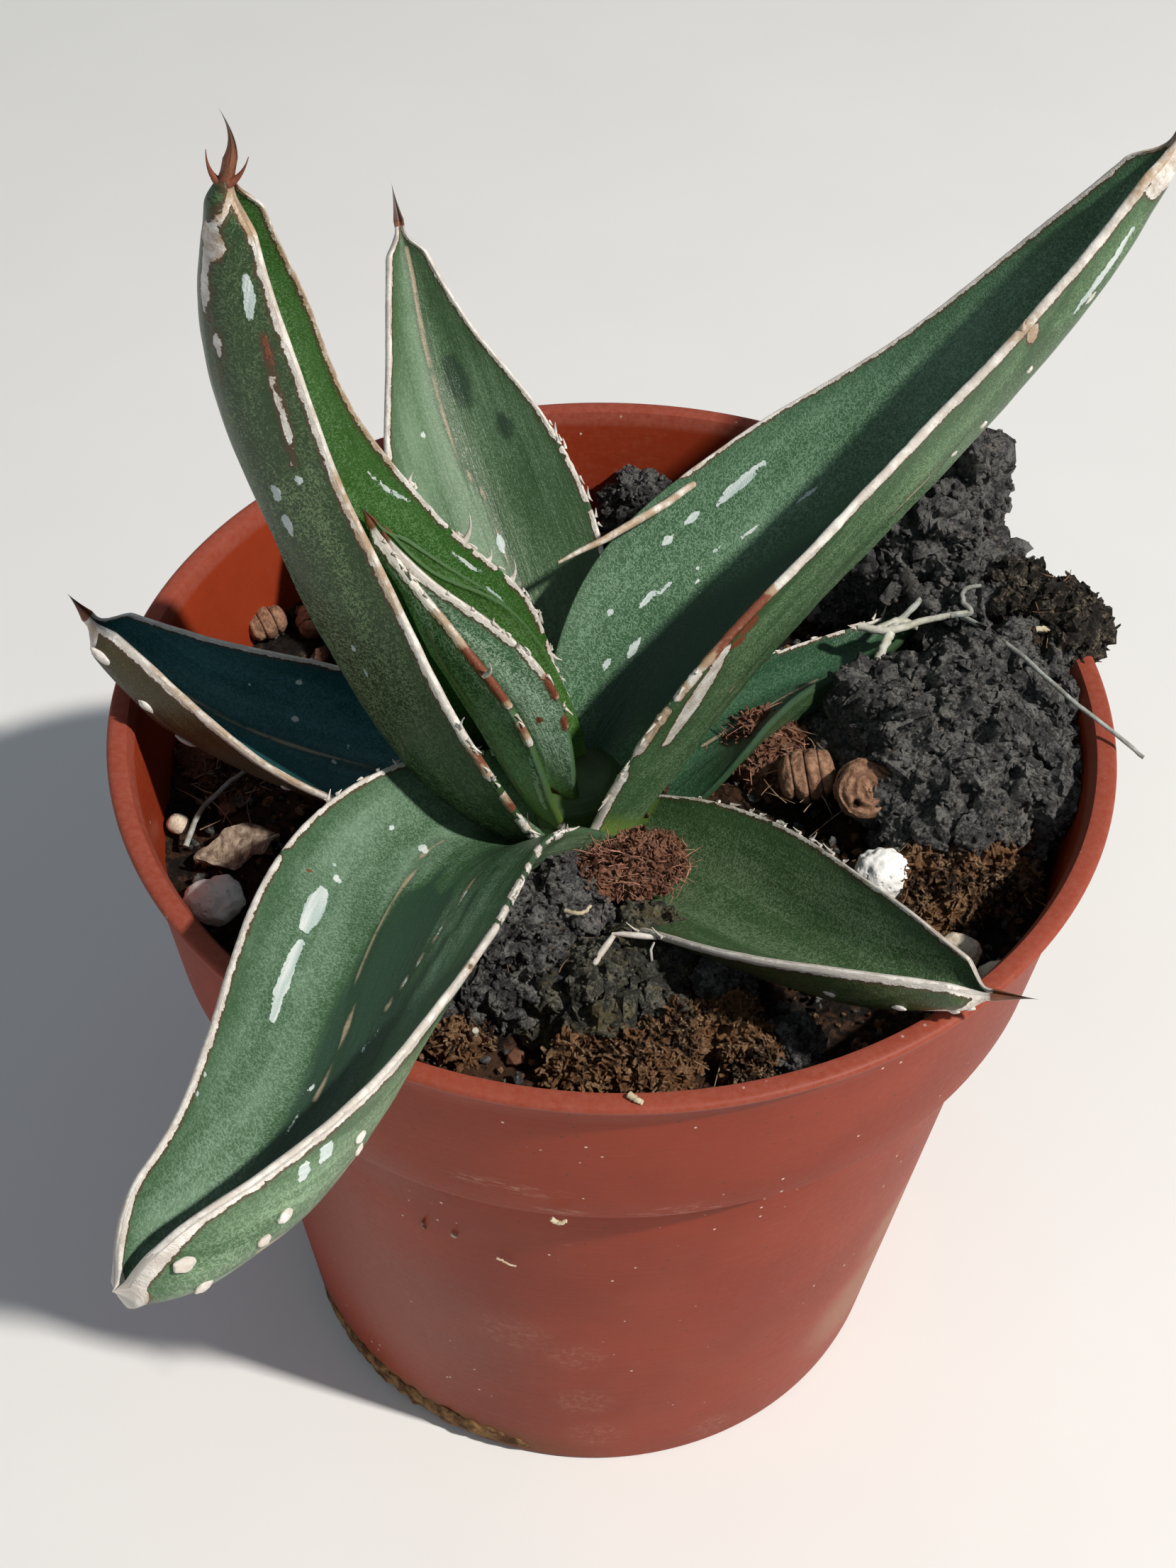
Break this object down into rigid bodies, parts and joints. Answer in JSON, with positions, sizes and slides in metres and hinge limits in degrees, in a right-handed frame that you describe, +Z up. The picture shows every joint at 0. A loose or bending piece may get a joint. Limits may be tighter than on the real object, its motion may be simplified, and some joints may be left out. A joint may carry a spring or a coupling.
{
  "type": "potted succulent",
  "caption": "Low agave rosette of stiff folded pointed leaves with pale horny edges, growing out of rough potting mix in a round tapered nursery pot.",
  "frame": {"origin": "middle of the pot's underside, where it stands", "axes": "+Z up along the pot's axis, -Y towards the side that the longest low leaf hangs over"},
  "size_m": [0.1108, 0.1359, 0.167],
  "materials": {
    "pot_plastic": "satin",
    "leaf": "satin",
    "leaf_young": "satin",
    "leaf_shaded": "satin",
    "leaf_base": "satin",
    "soil": "matte",
    "peat_dark": "matte",
    "peat_brown": "matte",
    "bark": "matte",
    "dry_scrap": "matte",
    "perlite": "matte",
    "grit": "matte",
    "root": "matte",
    "root_pale": "matte"
  },
  "bodies": {
    "root": {"pot": "pot_plastic", "crown": "leaf_base", "leaf_heart_inner": "leaf_young", "leaf_heart_outer": "leaf_young", "leaf_tall": "leaf", "leaf_right": "leaf", "leaf_back": "leaf", "leaf_front_left": "leaf", "leaf_front_right": "leaf", "leaf_left": "leaf_shaded", "leaf_back_right": "leaf", "soil": "soil", "bark_left": "bark", "bark_right": "bark", "curl_left": "bark", "curl_right": "bark", "root_fibre": "root", "root_fibre_white": "root_pale", "root_fibre_left": "root", "clod_right": "peat_dark", "clod_back": "peat_dark", "clod_rim": "peat_brown", "clod_fibrous": "peat_brown", "clod_small": "peat_dark", "clod_wall": "peat_dark", "clod_on_leaf": "peat_brown", "clod_front_a": "peat_dark", "clod_front_b": "peat_brown", "clod_front_d": "peat_brown", "clod_front_e": "peat_dark", "peat_tuft": "peat_brown", "crumb_left": "peat_brown", "crumb_left_low": "peat_brown", "scrap_left": "dry_scrap", "perlite_right": "perlite", "perlite_rim_a": "perlite", "perlite_rim_b": "perlite", "perlite_left": "perlite", "perlite_left_small": "perlite", "perlite_grey": "perlite", "grit_grey": "grit"}
  },
  "joints": []
}
